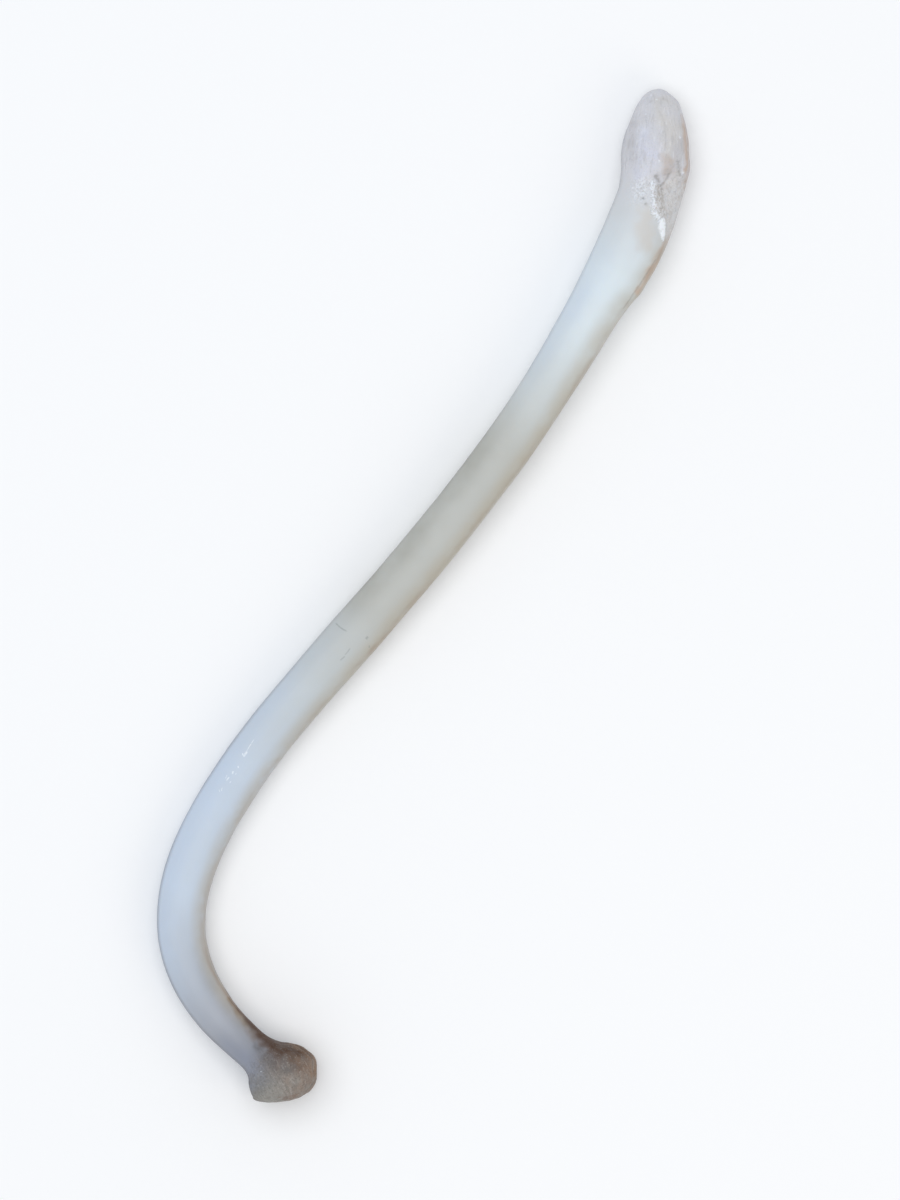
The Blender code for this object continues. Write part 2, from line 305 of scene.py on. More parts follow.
# Where tones come and go, as smooth steps from a start to where each is full, in mm: along the
# bone, then from one side of it to the other.
stretches = {
    "hook": ((54.0, 78.0), (101.0, 91.0)),
    "afterBase": ((12.5, 19.0), (36.0, 24.0)),
    "middle": ((31.0, 43.0), (60.0, 54.0)),
    "throat": ((101.0, 104.0), (109.0, 107.0)),
    "neck": ((91.0, 98.0), (106.0, 103.0)),
    "belly": ((11.5, 15.0), (106.0, 101.0)),
}
acrossSteps = {
    "back": (0.6, -1.7),
    "throatBack": (0.6, -1.0),
    "neckBelly": (-0.2, 1.8),
    "headBelly": (-1.5, 3.0),
}
upperStep = (-0.9, 0.3)        # from the lower side to the upper one
bellyReach = 1.5               # how far in the warm tone reaches from the belly's outline
bellyReachMore = 0.6           # how much farther after the base
bellyFull = 0.1                # and where it is full
paintedSkyLightAfterBase = 0.6            # the painted cool light on the back there, as a share of what it is on the hook
edgeStep = (0.45, 0.03)        # of the narrow lines, from the outline inwards
edgeRagged = {"bellyLine": 0.12, "backLine": 0.0}
slantContrast = 1.6            # of the facet's grain, around one half
roughShares = {"cap": 0.35, "facet": 1.0, "flakes": 1.0, "head": 1.0, "amber": 0.8}

# How marks end: where each kind starts and is full, in half-widths from its middle, and the
# noise that makes its edge ragged.
markEdges = {
    "flakes": (3.6, 0.8, {"small": 1.2}),
    "crest": (1.3, 0.5, {"small": 0.9, "crumbs": 0.7}),
    "chip": (1.1, 0.7, {"crumbs": 0.35}),
    "groove": (1.5, 0.2, {"crumbs": 0.6, "small": 0.4}),
    "fleck": (1.3, 0.4, {"crumbs": 0.6}),
    "stainAndShadeLine": (1.7, 0.3, {"patches": 0.5}),
}
noiseSizes = {"crumbs": 0.22, "small": 0.45, "patches": 0.8, "lumps": 1.6}    # mm
farOff = 100.0                 # farther than any mark reaches
evenHalfWidth = 2.0            # mm; lengthwise patterns are laid out as on a shaft this thick


def readSurface(mesh):
    # where each point of the mesh is on the bone, and the noise there, in mm
    spots = SimpleNamespace()
    flat = np.empty(len(mesh.vertices) * 3)
    mesh.vertices.foreach_get("co", flat)
    spots.points = flat.reshape(-1, 3) / mm
    mesh.vertices.foreach_get("normal", flat)
    spots.normals = flat.reshape(-1, 3)
    for name in ("distance", "depth", "side"):
        values = np.empty(len(mesh.vertices), dtype=np.float32)
        mesh.attributes[name].data.foreach_get("value", values)
        setattr(spots, name, values.astype(float))
    spots.upper = np.where(spots.side > 0.0, 1, -1)
    spots.noise = {name: cloud(spots.points, size) for name, size in noiseSizes.items()}
    spots.bright = np.zeros(len(mesh.vertices))
    spots.dark = np.zeros(len(mesh.vertices))
    return spots


def measureOutline(spots, slot=0.5, least=0.1):
    # how far each point lies from the outline, seen from above, and half the width there,
    # measured in slots along the bone that are at least so wide, in mm
    count = math.ceil(boneAxis["length"] / slot) + 1
    slots = np.clip((spots.distance / slot).astype(int), 0, count - 1)
    belly, back = np.full(count, least), np.full(count, least)
    np.maximum.at(belly, slots, spots.depth)
    np.maximum.at(back, slots, -spots.depth)
    middles = (np.arange(count) + 0.5) * slot
    spots.fromBelly = np.interp(spots.distance, middles, belly) - spots.depth
    spots.fromBack = np.interp(spots.distance, middles, back) + spots.depth
    spots.halfWidth = np.interp(spots.distance, middles, (belly + back) / 2)


def closeness(spots, line):
    # how near points are to a line, as a multiple of its half-width
    ratio = np.full(len(spots.distance), farOff)
    for (fromAt, fromTo, fromHalf), (at, to, half) in zip(line, line[1:]):
        runAlong, runTo = at - fromAt, to - fromTo
        along, over = spots.distance - fromAt, spots.depth - fromTo
        share = (along * runAlong + over * runTo) / (runAlong ** 2 + runTo ** 2)
        share = np.clip(share, 0.0, 1.0)
        gap = np.hypot(along - share * runAlong, over - share * runTo)
        ratio = np.minimum(ratio, gap / (fromHalf + (half - fromHalf) * share))
    return ratio


def reachFrom(spots, at, to, onSide, radius):
    # how far points are from a place on the surface, as a multiple of a radius
    apart = (spots.distance - at) ** 2 + (spots.depth - to) ** 2 + farOff * (spots.upper != onSide)
    nearest = spots.points[int(np.argmin(apart))]
    return np.linalg.norm(spots.points - nearest, axis=1) / radius


def softSpot(spots, at, to, long, wide):
    # 1 at a place, fading over an oval around it, on both sides of the bone
    return np.exp(-((spots.distance - at) / long) ** 2 - ((spots.depth - to) / wide) ** 2)


def markAt(spots, kind, ratio):
    # 1 in the middle of a mark, 0 past its ragged edge
    start, full, ragged = markEdges[kind]
    for name, weight in ragged.items():
        ratio = ratio + weight * spots.noise[name]
    return rise(ratio, start, full)


def placeFacet(spots, base):
    # the rough facet, between the crest and the belly, and its slanting grain
    crestAlong, crestTo, _ = zip(*base["crest"][0][1], *base["chip"][0][1])
    topTo, topAlong = zip(*base["facetTop"])
    pastCrest = spots.depth - np.interp(spots.distance, crestAlong, crestTo)
    pastTop = spots.distance - np.interp(spots.depth, topTo, topAlong)
    spots.facet = np.ones(len(pastCrest))
    for past, (start, full, ragged) in (
        (pastCrest, base["facetPastCrest"]), (pastTop, base["facetPastTop"]),
    ):
        spots.facet *= rise(past + ragged * spots.noise["small"], start, full)
    spots.facet *= rise(spots.distance, *base["facetEnd"])

    lean = math.atan(base["facetSlope"])
    grainLong, grainWide, _ = base["facetGrain"]
    slanting = np.stack([
        (spots.distance * math.cos(lean) + spots.depth * math.sin(lean)) / grainLong,
        (spots.depth * math.cos(lean) - spots.distance * math.sin(lean)) / grainWide,
        spots.side / grainWide / 2,
    ], axis=1)
    spots.slantingGrain = cloud(slanting, 1.0)


def roughenEnds(spots, base, tip):
    # the lumps of both ends, the facet's grain, the flaky place and the tip's corners
    noises = spots.noise
    spots.cap = rise(spots.distance, *base["capEnd"])
    spots.head = rise(spots.distance, *tip["headStart"])
    flaky = softSpot(spots, *base["flakyPlace"])
    spots.flakes = base["flakyMost"] * flaky
    spots.height = base["capLumps"] * spots.cap * (noises["lumps"] + 0.5 * noises["patches"])
    spots.height += tip["lumps"] * spots.head * noises["patches"]
    spots.height += spots.facet * base["facetGrain"][2] * spots.slantingGrain
    spots.height += base["flakyHeight"] * flaky * (noises["crumbs"] + 0.7 * noises["small"])
    for *place, high in tip["corners"]:
        spots.height += high * softSpot(spots, *place)


def raiseCrest(spots, base):
    # the ragged crest with bright flakes around it, and the chip at its foot
    for onSide, line in base["crest"]:
        ratio = closeness(spots, line) + farOff * (spots.upper != onSide)
        spots.flakes = np.maximum(spots.flakes, markAt(spots, "flakes", ratio))
        uneven = spots.noise["crumbs"] + 0.7 * spots.noise["patches"]
        ridge = markAt(spots, "crest", ratio) * rise(uneven, *base["crestGaps"])
        spots.height += base["crestHeight"] * ridge
        spots.bright = np.maximum(spots.bright, base["crestBright"] * ridge)
    for onSide, line in base["chip"]:
        chip = markAt(spots, "chip", closeness(spots, line)) * (spots.upper == onSide)
        spots.height += base["chipHeight"] * chip
        spots.bright = np.maximum(spots.bright, chip)


def cutHollows(spots, base, tip):
    # grooves and pits, with dirt and painted shade that are darker where they are deeper
    dark, darker = base["grooveDark"]
    for deep, onSide, line in base["grooves"]:
        groove = markAt(spots, "groove", closeness(spots, line)) * (spots.upper == onSide)
        spots.height -= deep * groove
        spots.dark = np.maximum(spots.dark, groove * (dark + darker * deep))
    dark, darker = base["pitDark"]
    for *place, deep in base["pits"] + tip["pits"]:
        reach = reachFrom(spots, *place) + 0.5 * spots.noise["crumbs"]
        pit = np.exp(-np.maximum(reach, 0.0) ** 2)
        spots.height -= deep * pit
        spots.dark = np.maximum(spots.dark, pit * (dark + darker * deep))


def addFlecks(spots, base, tip):
    for place in base["flecks"] + tip["flecks"]:
        fleck = markAt(spots, "fleck", reachFrom(spots, *place))
        spots.height += base["fleckHeight"] * fleck
        spots.bright = np.maximum(spots.bright, base["fleckBright"] * fleck)


def surfaceMasks(spots):
    # what the material reads: one value for each point
    along = {
        name: rise(spots.distance, *comes) * rise(spots.distance, *goes)
        for name, (comes, goes) in stretches.items()
    }
    across = {name: rise(spots.depth, *step) for name, step in acrossSteps.items()}
    bellyEdge = bellyReach + bellyReachMore * along["afterBase"]
    masks = {
        "across": spots.depth * evenHalfWidth / spots.halfWidth,
        "round": spots.side * evenHalfWidth / spots.halfWidth,
        "coolBack": across["back"] * np.maximum(along["hook"], paintedSkyLightAfterBase * along["afterBase"]),
        "dullBack": across["back"] * along["middle"],
        "throatBlue": across["throatBack"] * along["throat"],
        "headTan": across["headBelly"] * spots.head,
        "neckShade": across["neckBelly"] * along["neck"],
        "warmBelly": rise(spots.fromBelly, bellyEdge, bellyFull) * along["belly"],
        "cap": spots.cap,
        "facet": spots.facet,
        "slant": spots.facet * np.clip(0.5 + slantContrast * spots.slantingGrain, 0.0, 1.0),
        "flakes": spots.flakes,
        "head": spots.head,
        "bright": spots.bright,
        "dark": np.clip(spots.dark, 0.0, 1.0),
    }
    for name, lines in stainAndShadeLines.items():
        ratio = np.min([closeness(spots, line) for line in lines], axis=0)
        masks[name] = markAt(spots, "stainAndShadeLine", ratio)
    masks["tan"] *= rise(spots.side, *upperStep)
    masks["rough"] = np.max([share * masks[name] for name, share in roughShares.items()], axis=0)
    for name, inward in (("bellyLine", spots.fromBelly), ("backLine", spots.fromBack)):
        ragged = edgeRagged[name] * spots.noise["patches"]
        strength = np.interp(spots.distance, *zip(*edgeLines[name]))
        masks[name] = rise(inward + ragged, *edgeStep) * strength
    return masks


def carve(bone, base, tip):
    # moves the points along their normals and stores masks of what was formed or stained
    mesh = bone.data
    spots = readSurface(mesh)
    measureOutline(spots)
    placeFacet(spots, base)
    roughenEnds(spots, base, tip)
    raiseCrest(spots, base)
    cutHollows(spots, base, tip)
    addFlecks(spots, base, tip)
    shaped = spots.points + spots.normals * spots.height[:, None]
    shaped[:, 2] = np.maximum(shaped[:, 2], 0.0)    # nothing sinks into the table
    mesh.vertices.foreach_set("co", (shaped * mm).ravel())
    mesh.update()
    for name, values in surfaceMasks(spots).items():
        mesh.attributes.new(name, "FLOAT", "POINT").data.foreach_set("value", values)


# The grain that follows the whole surface. Sizes and heights in millimetres.

boneGrain = {
    "seed": 4.0,
    "grainSize": 0.26,
    "grainHeight": 0.024,
    "noiseDetail": 2.5,
    "poreSpacing": 0.42,
    "poreDepth": 0.030,
    "poreShare": 0.4,          # of the cells, the share that has a pore
    "poreFloor": 0.15,         # where a pore's wall ends inside and outside, in cells
    "poreRim": 0.5,
    "fibreLength": 3.0,        # lengthwise lines of the dense bone, fanning out at the ends
    "fibreWidth": 0.28,
    "fibreHeight": 0.010,
    "headFibres": 1.5,         # how much higher they are on the head, as a share
    "swellSize": 5.0,          # slow unevenness of the shaft
    "swellHeight": 0.05,
}


def boneGrainTree(grain, material):
    tree = bpy.data.node_groups.new("boneGrain", "GeometryNodeTree")
    tree.interface.new_socket("Geometry", in_out="INPUT", socket_type="NodeSocketGeometry")
    for name in grain:
        tree.interface.new_socket(name, in_out="INPUT", socket_type="NodeSocketFloat")
    tree.interface.new_socket("Geometry", in_out="OUTPUT", socket_type="NodeSocketGeometry")
    given = tree.nodes.new("NodeGroupInput").outputs

    place = addNode(tree, "GeometryNodeInputPosition")
    placeMm = addNode(
        tree, "ShaderNodeVectorMath", {0: place, "Scale": 1 / mm}, operation="SCALE"
    )
    stored = {
        name: addNode(tree, "GeometryNodeInputNamedAttribute", {"Name": name})
        for name in ("distance", "across", "round", "rough", "head")
    }
    dense = addNode(tree, "ShaderNodeMath", {0: 1.0, 1: stored["rough"]}, operation="SUBTRACT")
    fibrous = addNode(
        tree, "ShaderNodeMath", {0: stored["head"], 1: given["headFibres"], 2: 1.0},
        operation="MULTIPLY_ADD",
    )
    lengthwise = addNode(tree, "ShaderNodeCombineXYZ", {
        axis: addNode(
            tree, "ShaderNodeMath", {0: stored[name], 1: given[size]}, operation="DIVIDE"
        )
        for axis, name, size in (
            ("X", "distance", "fibreLength"), ("Y", "across", "fibreWidth"),
            ("Z", "round", "fibreWidth"),
        )
    })

    # grain, swell and fibres: noise lifts and lowers the surface by up to its height
    height = 0.0
    for vector, size, tall, where in (
        (placeMm, "grainSize", "grainHeight", stored["rough"]),
        (placeMm, "swellSize", "swellHeight", dense),
        (lengthwise, None, "fibreHeight", fibrous),
    ):
        scale = 1.0
        if size:
            scale = addNode(tree, "ShaderNodeMath", {0: 1.0, 1: given[size]}, operation="DIVIDE")
        lift = addNode(
            tree, "ShaderNodeTexNoise",
            {"Vector": vector, "W": given["seed"], "Scale": scale, "Detail": given["noiseDetail"]},
            noise_dimensions="4D",
        )
        centred = addNode(tree, "ShaderNodeMath", {0: lift, 1: 0.5}, operation="SUBTRACT")
        most = addNode(
            tree, "ShaderNodeMath", {0: given[tall], 1: where}, operation="MULTIPLY"
        )
        most = addNode(tree, "ShaderNodeMath", {0: most, 1: 2.0}, operation="MULTIPLY")
        height = addNode(
            tree, "ShaderNodeMath", {0: centred, 1: most, 2: height}, operation="MULTIPLY_ADD"
        )

    # shallow pores, in a part of the cells
    cellScale = addNode(
        tree, "ShaderNodeMath", {0: 1.0, 1: given["poreSpacing"]}, operation="DIVIDE"
    )
    cell = addNode(
        tree, "ShaderNodeTexVoronoi",
        {"Vector": placeMm, "W": given["seed"], "Scale": cellScale},
        voronoi_dimensions="4D",
    ).node.outputs
    draw = addNode(tree, "FunctionNodeSeparateColor", {"Color": cell["Color"]})
    chosen = addNode(
        tree, "ShaderNodeMath", {0: draw, 1: given["poreShare"]}, operation="LESS_THAN"
    )
    pore = addNode(tree, "ShaderNodeMapRange", {
        "Value": cell["Distance"], "From Min": given["poreFloor"], "From Max": given["poreRim"],
        "To Min": 1.0, "To Max": 0.0,
    }, interpolation_type="SMOOTHSTEP")
    pore = addNode(tree, "ShaderNodeMath", {0: pore, 1: chosen}, operation="MULTIPLY")
    pore = addNode(tree, "ShaderNodeMath", {0: pore, 1: stored["rough"]}, operation="MULTIPLY")
    sunk = addNode(
        tree, "ShaderNodeMath", {0: pore, 1: given["poreDepth"]}, operation="MULTIPLY"
    )
    height = addNode(tree, "ShaderNodeMath", {0: height, 1: sunk}, operation="SUBTRACT")

    metres = addNode(tree, "ShaderNodeMath", {0: height, 1: mm}, operation="MULTIPLY")
    offset = addNode(
        tree, "ShaderNodeVectorMath",
        {0: addNode(tree, "GeometryNodeInputNormal"), "Scale": metres}, operation="SCALE",
    )
    moved = addNode(tree, "ShaderNodeVectorMath", {0: place, 1: offset}, operation="ADD")
    lowest = (-1.0, -1.0, 0.0)    # the table at 0, and far off sideways
    onTable = addNode(tree, "ShaderNodeVectorMath", {0: moved, 1: lowest}, operation="MAXIMUM")
    shaped = addNode(
        tree, "GeometryNodeStoreNamedAttribute",
        {"Geometry": given["Geometry"], "Name": "pores", "Value": pore},
        data_type="FLOAT", domain="POINT",
    )
    shaped = addNode(tree, "GeometryNodeSetPosition", {"Geometry": shaped, "Position": onTable})
    shaped = addNode(tree, "GeometryNodeSetShadeSmooth", {"Geometry": shaped})
    shaped = addNode(tree, "GeometryNodeRealizeInstances", {"Geometry": shaped})
    shaped = addNode(
        tree, "GeometryNodeSetMaterial", {"Geometry": shaped, "Material": material}
    )
    addNode(tree, "NodeGroupOutput", {"Geometry": shaped})
    return tree


def growGrain(piece, tree, values):
    # the inputs are set by their sockets' identifiers
    modifier = piece.modifiers.new("grain", "NODES")
    modifier.node_group = tree
    for item in tree.interface.items_tree:
        if item.in_out == "INPUT" and item.name in values:
            modifier[item.identifier] = values[item.name]
    keepResult(piece, modifier)


# Dry bone: boiled, degreased and air dried. The dense wall of the shaft is satin and shines a
# little through.
# Painted into its colour are cool sky light on the back, a brighter cool reflection on the upper
# shaft and hook, and shade in the middle; towards the belly a warm tone is partly old fat stain
# and partly painted warm light bounced onto the belly side. The spongy ends are matt, grey and
# grainy.

dryBone = {
    "ior": 1.55,
    "tones": {
        "cap": "#D4D4D9",
        "paleNeck": "#D2D6D9",
        "paleWithPaintedHighlight": "#DDE7EC",
        "shaft": "#BEBFBA",
        "hookStart": "#C4CACC",
        "hook": "#C7D3E1",
        "neck": "#A8ACB5",
        "throat": "#86888F",
        "head": "#7E7D7B",
        "tip": "#999690",
    },
    # Partly the bone's own tone, partly painted light: the paler, bluer upper shaft and hook hold
    # a painted cool reflection, and the greyer middle is partly greasy tone, partly painted shade.
    "alongBone": [             # distance in mm, tone
        (0.0, "cap"), (8.0, "cap"), (12.5, "paleNeck"), (18.0, "paleWithPaintedHighlight"), (23.0, "paleWithPaintedHighlight"),
        (37.0, "shaft"), (56.0, "shaft"), (64.0, "hookStart"), (76.0, "hook"), (88.0, "hook"),
        (101.0, "neck"), (106.0, "throat"), (108.2, "head"), (109.8, "tip"),
    ],
    # Each layer, whether stain, painted light or painted shade: mask, tint, size of its patches in
    # mm (two sizes where they run lengthwise), the levels of their noise where they start and are
    # full, and the most that they tint. Noise is mostly 0.3 to 0.7.
    "stainsAndPaintedLight": [
        # painted light: cool sky light on the back of the hook and after the base
        ("coolBack", "#C8D5E6", 5.0, 0.10, 0.60, 0.72),
        # partly a greasy grey tone, partly painted shade on the back of the middle shaft
        ("dullBack", "#9B9A8F", 5.0, 0.20, 0.70, 0.58),
        # painted light: cool sky light on the back of the throat
        ("throatBlue", "#9297A6", 2.0, 0.10, 0.65, 0.70),
        ("lavender", "#D3D5E1", 1.5, 0.20, 0.65, 0.85),
        ("cream", "#CFCBC5", 1.5, 0.10, 0.70, 0.70),
        # painted shade near the base's belly and back outlines
        ("drab", "#BAB7BA", 1.2, 0.10, 0.75, 0.55),
        ("headTan", "#877060", 1.1, 0.10, 0.70, 0.85),
        ("headShade", "#555050", 0.8, 0.15, 0.70, 0.62),
        ("neckShade", "#6A6560", 2.0, 0.15, 0.70, 0.25),
        ("amber", "#6A4D34", 0.9, 0.15, 0.65, 0.62),
        ("rust", "#7C5E4B", 0.4, 0.30, 0.60, 0.60),
        # partly old fat stain, partly painted warm light bounced onto the belly side
        ("warmBelly", "#B0A48D", 2.2, -0.15, 0.65, 0.56),
        ("blush", "#BCA897", 1.1, 0.15, 0.72, 0.58),
        # partly tan stain, partly a painted warm reflection along the base's belly edge
        ("tan", "#C4A992", (1.4, 0.45), 0.26, 0.68, 0.74),
        # partly brown stain, partly a painted warm reflection along the belly edge
        ("bellyLine", "#94765A", (4.0, 0.8), 0.25, 0.65, 0.75),
        # painted shade along the back edge
        ("backLine", "#6C6D74", 6.0, 0.10, 0.55, 0.60),
        ("deepBrown", "#472A14", 1.0, 0.05, 0.45, 0.93),
        ("lobeTan", "#866A52", 0.6, 0.10, 0.60, 0.75),
        # darker patches along the head's back edge
        ("soot", "#57504B", 0.5, 0.30, 0.62, 0.55),
        ("facet", "#D6D4D3", 0.5, 0.20, 0.65, 0.90),
        ("slant", "#B5AFAA", 0.4, 0.35, 0.60, 0.42),
        ("mottle", "#A09A92", 0.24, 0.46, 0.56, 0.60),
        ("cap", "#A9A8A9", (1.1, 0.22), 0.50, 0.70, 0.28),
        ("cap", "#EEF0F6", (0.9, 0.18), 0.54, 0.70, 0.24),
        ("cap", "#9D9B9A", 0.15, 0.56, 0.70, 0.22),
        ("facet", "#8A857F", 0.16, 0.54, 0.68, 0.25),
        ("head", "#5F5B58", (1.4, 0.18), 0.50, 0.68, 0.30),
        ("head", "#B9B6B2", (0.9, 0.15), 0.55, 0.70, 0.25),
        ("head", "#4E4843", 0.16, 0.53, 0.68, 0.40),
        ("head", "#BDB9B3", 0.18, 0.56, 0.70, 0.25),
        ("head", "#77706A", 0.8, 0.45, 0.65, 0.25),
        # painted shade in the pores
        ("pores", "#6F6A63", 1.0, 0.30, 0.60, 0.25),
        # dirt and painted shade in the grooves and pits
        ("dark", "#87827B", 0.3, 0.20, 0.50, 0.90),
        # painted shade in the gaps between the flakes
        ("flakes", "#A3A19D", 0.20, 0.53, 0.62, 0.50),
        ("flakes", "#F0F4FB", 0.17, 0.50, 0.56, 0.75),
        ("bright", "#F3F7FC", 0.3, 0.20, 0.50, 1.00),
    ],
    "clouds": ("#A8A69C", 6.0, 0.32, 0.68, 0.10),    # greyish, faint, over the whole bone
    "shaftRoughness": 0.46,
    "endRoughness": 0.66,
    "unevenRoughness": (2.5, 0.32, 0.68, 0.10),
    "shine": 0.35,             # its pores swallow a part of the reflection
    "fineRelief": (0.12, 0.32, 0.68, 1.0),
    "fineReliefMost": (0.10, 1.0),    # on dense and on rough bone
    "bumpStrength": 0.8,
    "bumpHeight": 0.02,        # mm
    "glow": 0.12,              # share of the light that goes under the surface
    "glowColours": (1.0, 0.75, 0.55),
    "glowDepth": 1.0,          # mm
}

# Small marks on the upper side: distance, depth, degrees from the bone's length, half-length,
# half-width, bow, in mm
cracks = [
    (59.55, -1.12, 96.0, 0.80, 0.06, 0.16),
    (60.78, 0.87, 2.0, 0.48, 0.05, -0.15),
    (61.58, 0.92, -6.0, 0.34, 0.05, 0.20),
    (58.62, 1.33, 0.0, 0.18, 0.09, 0.0),
    (59.10, 2.00, 35.0, 0.14, 0.05, 0.0),
    (10.66, -0.24, 20.0, 0.12, 0.08, 0.0),
    (11.04, 0.12, -40.0, 0.16, 0.05, 0.3),
]
# scratches, with a painted glint of highlight on them
scratchGlints = [
    (74.10, -0.42, -3.0, 0.34, 0.09, 0.1),
    (74.25, -0.62, 30.0, 0.12, 0.05, 0.0),
    (73.20, -0.52, 4.0, 0.75, 0.03, 0.0),
    (75.45, -0.28, 50.0, 0.13, 0.05, 0.0),
    (76.15, -0.42, 15.0, 0.17, 0.06, 0.0),
    (76.90, -0.50, -5.0, 0.26, 0.05, 0.3),
    (76.80, -0.72, 12.0, 0.20, 0.03, -0.6),
    (78.00, -0.47, 20.0, 0.18, 0.03, 1.6),
    (76.10, -0.10, 5.0, 0.10, 0.03, 0.0),
    (77.02, -0.12, -5.0, 0.12, 0.03, 0.0),
    (78.22, -0.58, 50.0, 0.13, 0.03, 0.0),
]
boneMarks = [(cracks, "#858C88", 0.55), (scratchGlints, "#F4F9FD", 0.75)]    # lines, tint, most
markPatches = (0.2, 0.10, 0.65)    # size, start and full, as in the stains
patchDetail = 3.0


def patchy(tree, mask, surface, size, start, full, most):
    # breaks a mask up into patches, round ones in space or long ones laid out along the bone
    lengthwise = isinstance(size, tuple)
    sizes = (size[0], size[1], size[1]) if lengthwise else (size * mm, size * mm, size * mm)
    scaled = addNode(
        tree, "ShaderNodeVectorMath",
        {0: surface["alongBone" if lengthwise else "place"], 1: sizes}, operation="DIVIDE",
    )
    patches = addNode(
        tree, "ShaderNodeTexNoise", {"Vector": scaled, "Scale": 1.0, "Detail": patchDetail}
    )
    share = addNode(tree, "ShaderNodeMapRange", {
        "Value": patches, "From Min": start, "From Max": full, "To Min": 0.0, "To Max": most,
    }, interpolation_type="SMOOTHSTEP")
    return addNode(tree, "ShaderNodeMath", {0: share, 1: mask}, operation="MULTIPLY")


def shortLine(tree, surface, at, to, degrees, halfLength, halfWidth, bow):
    # 1 on a short bowed line on the upper side, 0 off it
    place = addNode(tree, "ShaderNodeCombineXYZ", {
        "X": surface["distance"], "Y": surface["depth"], "Z": 0.0,
    })
    centred = addNode(
        tree, "ShaderNodeVectorMath", {0: place, 1: (at, to, 0.0)}, operation="SUBTRACT"
    )
    turn = math.radians(degrees)
    along, across = (
        addNode(
            tree, "ShaderNodeVectorMath", {0: centred, 1: direction}, output="Value",
            operation="DOT_PRODUCT",
        )
        for direction in (
            (math.cos(turn), math.sin(turn), 0.0), (-math.sin(turn), math.cos(turn), 0.0),
        )
    )
    squared = addNode(tree, "ShaderNodeMath", {0: along, 1: along}, operation="MULTIPLY")
    bowed = addNode(
        tree, "ShaderNodeMath", {0: squared, 1: -bow, 2: across}, operation="MULTIPLY_ADD"
    )
    line = addNode(tree, "ShaderNodeMath", {0: surface["side"], 1: 0.0}, operation="GREATER_THAN")
    for value, solid, gone in (
        (along, halfLength * 0.6, halfLength), (bowed, 0.0, halfWidth * 2),
    ):
        size = addNode(tree, "ShaderNodeMath", {0: value}, operation="ABSOLUTE")
        inside = addNode(tree, "ShaderNodeMapRange", {
            "Value": size, "From Min": solid, "From Max": gone, "To Min": 1.0, "To Max": 0.0,
        }, interpolation_type="SMOOTHSTEP")
        line = addNode(tree, "ShaderNodeMath", {0: line, 1: inside}, operation="MULTIPLY")
    return line


def dryBoneMaterial(finish):
    material = bpy.data.materials.new("dryBone")
    material.use_nodes = True
    tree = material.node_tree
    tree.nodes.clear()
    masks = {stainAndShadeLine[0] for stainAndShadeLine in finish["stainsAndPaintedLight"]}
    surface = {
        name: addNode(tree, "ShaderNodeAttribute", output="Fac", attribute_name=name)
        for name in sorted({"distance", "depth", "side", "across", "round", "rough"} | masks)
    }
    surface["place"] = addNode(tree, "ShaderNodeTexCoord", output="Object")
    surface["alongBone"] = addNode(tree, "ShaderNodeCombineXYZ", {
        "X": surface["distance"], "Y": surface["across"], "Z": surface["round"],
    })

    # tones along the bone
    length = boneAxis["length"]
    share = addNode(
        tree, "ShaderNodeMath", {0: surface["distance"], 1: length}, operation="DIVIDE"
    )
    ramp = addNode(tree, "ShaderNodeValToRGB", {"Fac": share}).node
    stops = ramp.color_ramp.elements
    stops.remove(stops[-1])
    for i, (where, tone) in enumerate(finish["alongBone"]):
        stop = stops[0] if i == 0 else stops.new(where / length)
        stop.position = where / length
        stop.color = linearColour(finish["tones"][tone])
    colour = ramp.outputs["Color"]

    # faint clouds over the whole, then stains and marks
    tint, *patches = finish["clouds"]
    layers = [(patchy(tree, 1.0, surface, *patches), tint)]
    for mask, tint, *patches in finish["stainsAndPaintedLight"]:
        layers.append((patchy(tree, surface[mask], surface, *patches), tint))
    for marks, tint, most in boneMarks:
        for mark in marks:
            line = shortLine(tree, surface, *mark)
            layers.append((patchy(tree, line, surface, *markPatches, most), tint))
    for amount, tint in layers:
        # on the Mix node, 0, 6 and 7 are the factor and two colours, and output 2 the colour
        colour = addNode(
            tree, "ShaderNodeMix", {0: amount, 6: colour, 7: linearColour(tint)}, output=2,
            data_type="RGBA",
        )

    roughness = addNode(tree, "ShaderNodeMapRange", {
        "Value": surface["rough"], "To Min": finish["shaftRoughness"],
        "To Max": finish["endRoughness"],
    })
    uneven = patchy(tree, 1.0, surface, *finish["unevenRoughness"])
    roughness = addNode(tree, "ShaderNodeMath", {0: roughness, 1: uneven}, operation="ADD")
    least, most = finish["fineReliefMost"]
    lift = addNode(tree, "ShaderNodeMapRange", {
        "Value": surface["rough"], "To Min": least, "To Max": most,
    })
    fine = patchy(tree, 1.0, surface, *finish["fineRelief"])
    relief = addNode(tree, "ShaderNodeMath", {0: fine, 1: lift}, operation="MULTIPLY")
    bump = addNode(tree, "ShaderNodeBump", {
        "Strength": finish["bumpStrength"], "Distance": finish["bumpHeight"] * mm,
        "Height": relief,
    })

    shader = addNode(tree, "ShaderNodeBsdfPrincipled", {
        "Base Color": colour,
        "Specular IOR Level": finish["shine"],
        "Roughness": roughness,
        "Normal": bump,
        "IOR": finish["ior"],
        "Subsurface Weight": finish["glow"],
        "Subsurface Radius": finish["glowColours"],
        "Subsurface Scale": finish["glowDepth"] * mm,
    })
    addNode(tree, "ShaderNodeOutputMaterial", {"Surface": shader})
    return material


# The studio. Places and sizes in millimetres, power in watts.

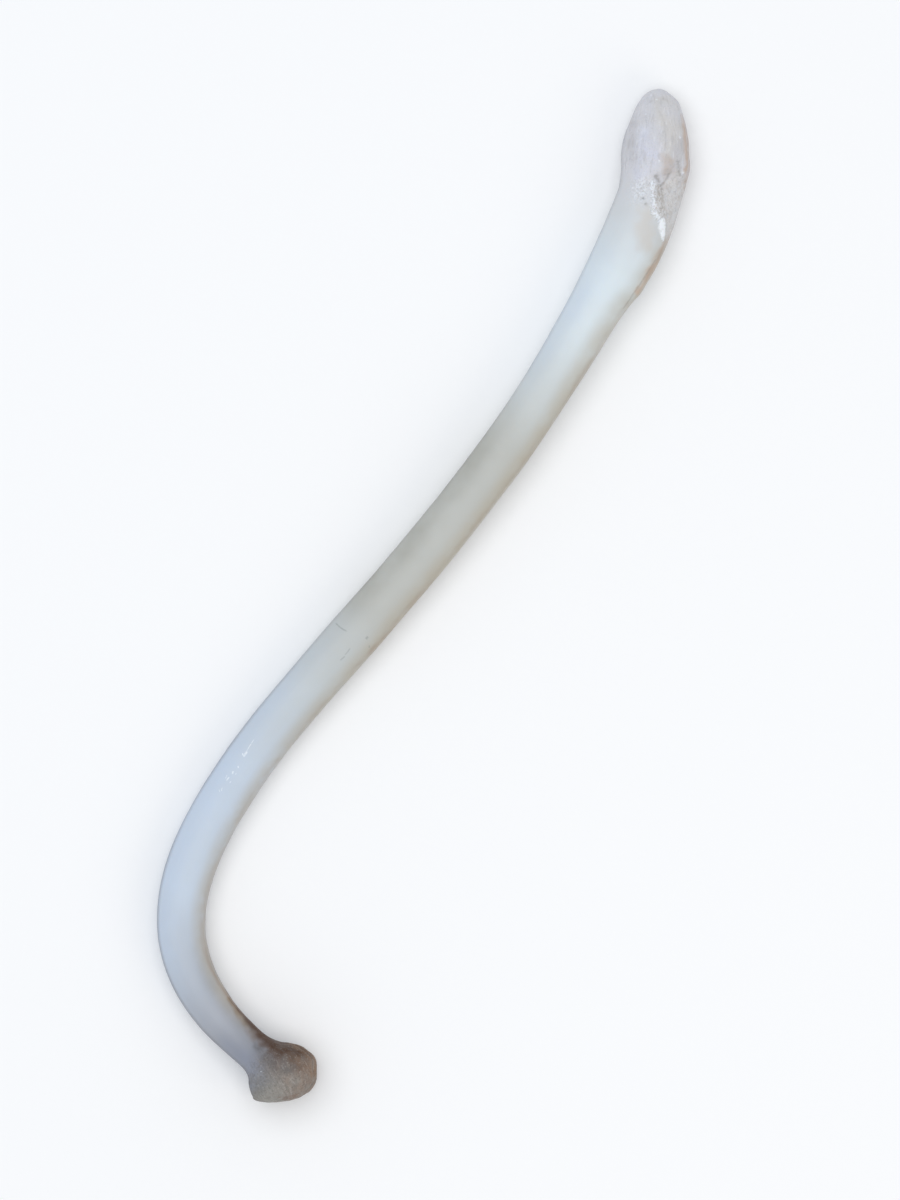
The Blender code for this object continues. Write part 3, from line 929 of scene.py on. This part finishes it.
studio = {
    "floorSize": 4000.0,
    "floorColour": "#FCFCFC",
    "floorRoughness": 0.9,
    "floorShine": 0.1,
    "skyColour": "#EEF2F7",
    "skyStrength": 0.62,
    "softbox": {"place": (-45.0, -115.0, 760.0), "size": 760.0, "power": 2.9,
                "colour": "#FAFCFF"},
    "fill": {"place": (120.0, 300.0, 260.0), "size": 300.0, "power": 0.20,
             "colour": "#FFF0DC"},
}


def paleBoardMaterial(studio):
    # painted board, dead matt: even and without gloss
    material = bpy.data.materials.new("paleBoard")
    material.use_nodes = True
    tree = material.node_tree
    tree.nodes.clear()
    shader = addNode(tree, "ShaderNodeBsdfPrincipled", {
        "Base Color": linearColour(studio["floorColour"]),
        "Roughness": studio["floorRoughness"],
        "Specular IOR Level": studio["floorShine"],
    })
    addNode(tree, "ShaderNodeOutputMaterial", {"Surface": shader})
    return material


def buildStudio(studio):
    half = studio["floorSize"] / 2 * mm
    corners = [(-half, -half, 0), (half, -half, 0), (half, half, 0), (-half, half, 0)]
    mesh = bpy.data.meshes.new("tableTop")
    mesh.from_pydata(corners, [], [(0, 1, 2, 3)])
    mesh.materials.append(paleBoardMaterial(studio))
    floor = bpy.data.objects.new("tableTop", mesh)
    bpy.context.scene.collection.objects.link(floor)

    world = bpy.data.worlds.new("studioSky")
    bpy.context.scene.world = world
    world.use_nodes = True
    sky = world.node_tree.nodes["Background"].inputs
    sky["Color"].default_value = linearColour(studio["skyColour"])
    sky["Strength"].default_value = studio["skyStrength"]

    for name in ("softbox", "fill"):
        settings = studio[name]
        data = bpy.data.lights.new(name, "AREA")
        data.shape = "DISK"
        data.size = settings["size"] * mm
        data.energy = settings["power"]
        data.color = linearColour(settings["colour"])[:3]
        lamp = bpy.data.objects.new(name, data)
        lamp.location = Vector(settings["place"]) * mm
        lamp.rotation_euler = (-lamp.location).to_track_quat("-Z", "Y").to_euler()
        bpy.context.scene.collection.objects.link(lamp)


# The camera looks straight down. Lengths in millimetres.

camera = {
    "lens": 200.0,
    "longSide": 111.11,       # what the photograph's 1200 pixels take in, at the bone's height
    "sensor": 36.0,
    "nearest": 10.0,
    "above": (0.77, 4.39, 3.0),
    "turn": 109.9,            # degrees, the bone's length against the photograph's width
}


def placeCamera(camera):
    data = bpy.data.cameras.new("overhead")
    data.lens = camera["lens"]
    data.sensor_width = camera["sensor"]
    data.clip_start = camera["nearest"] * mm
    lift = camera["longSide"] * camera["lens"] / camera["sensor"]
    place = (Vector(camera["above"]) + Vector((0.0, 0.0, lift))) * mm
    turn = Matrix.Rotation(math.radians(camera["turn"]), 4, "Z")
    eye = bpy.data.objects.new("overhead", data)
    eye.matrix_world = Matrix.Translation(place) @ turn
    bpy.context.scene.collection.objects.link(eye)
    bpy.context.scene.camera = eye


placeCamera(camera)
buildStudio(studio)
bpy.context.scene.view_settings.view_transform = "Standard"
print("studio ready")

bone = boneFromSolid(frame["nodes"]["baculum"], levels=2)
print("form refined:", len(bone.data.polygons), "faces")
carve(bone, baseForm, tipForm)
print("base and tip carved")
growGrain(bone, boneGrainTree(boneGrain, dryBoneMaterial(dryBone)), boneGrain)
print("grain added:", len(bone.data.polygons), "faces")
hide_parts("baculum")
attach(bone, "root")
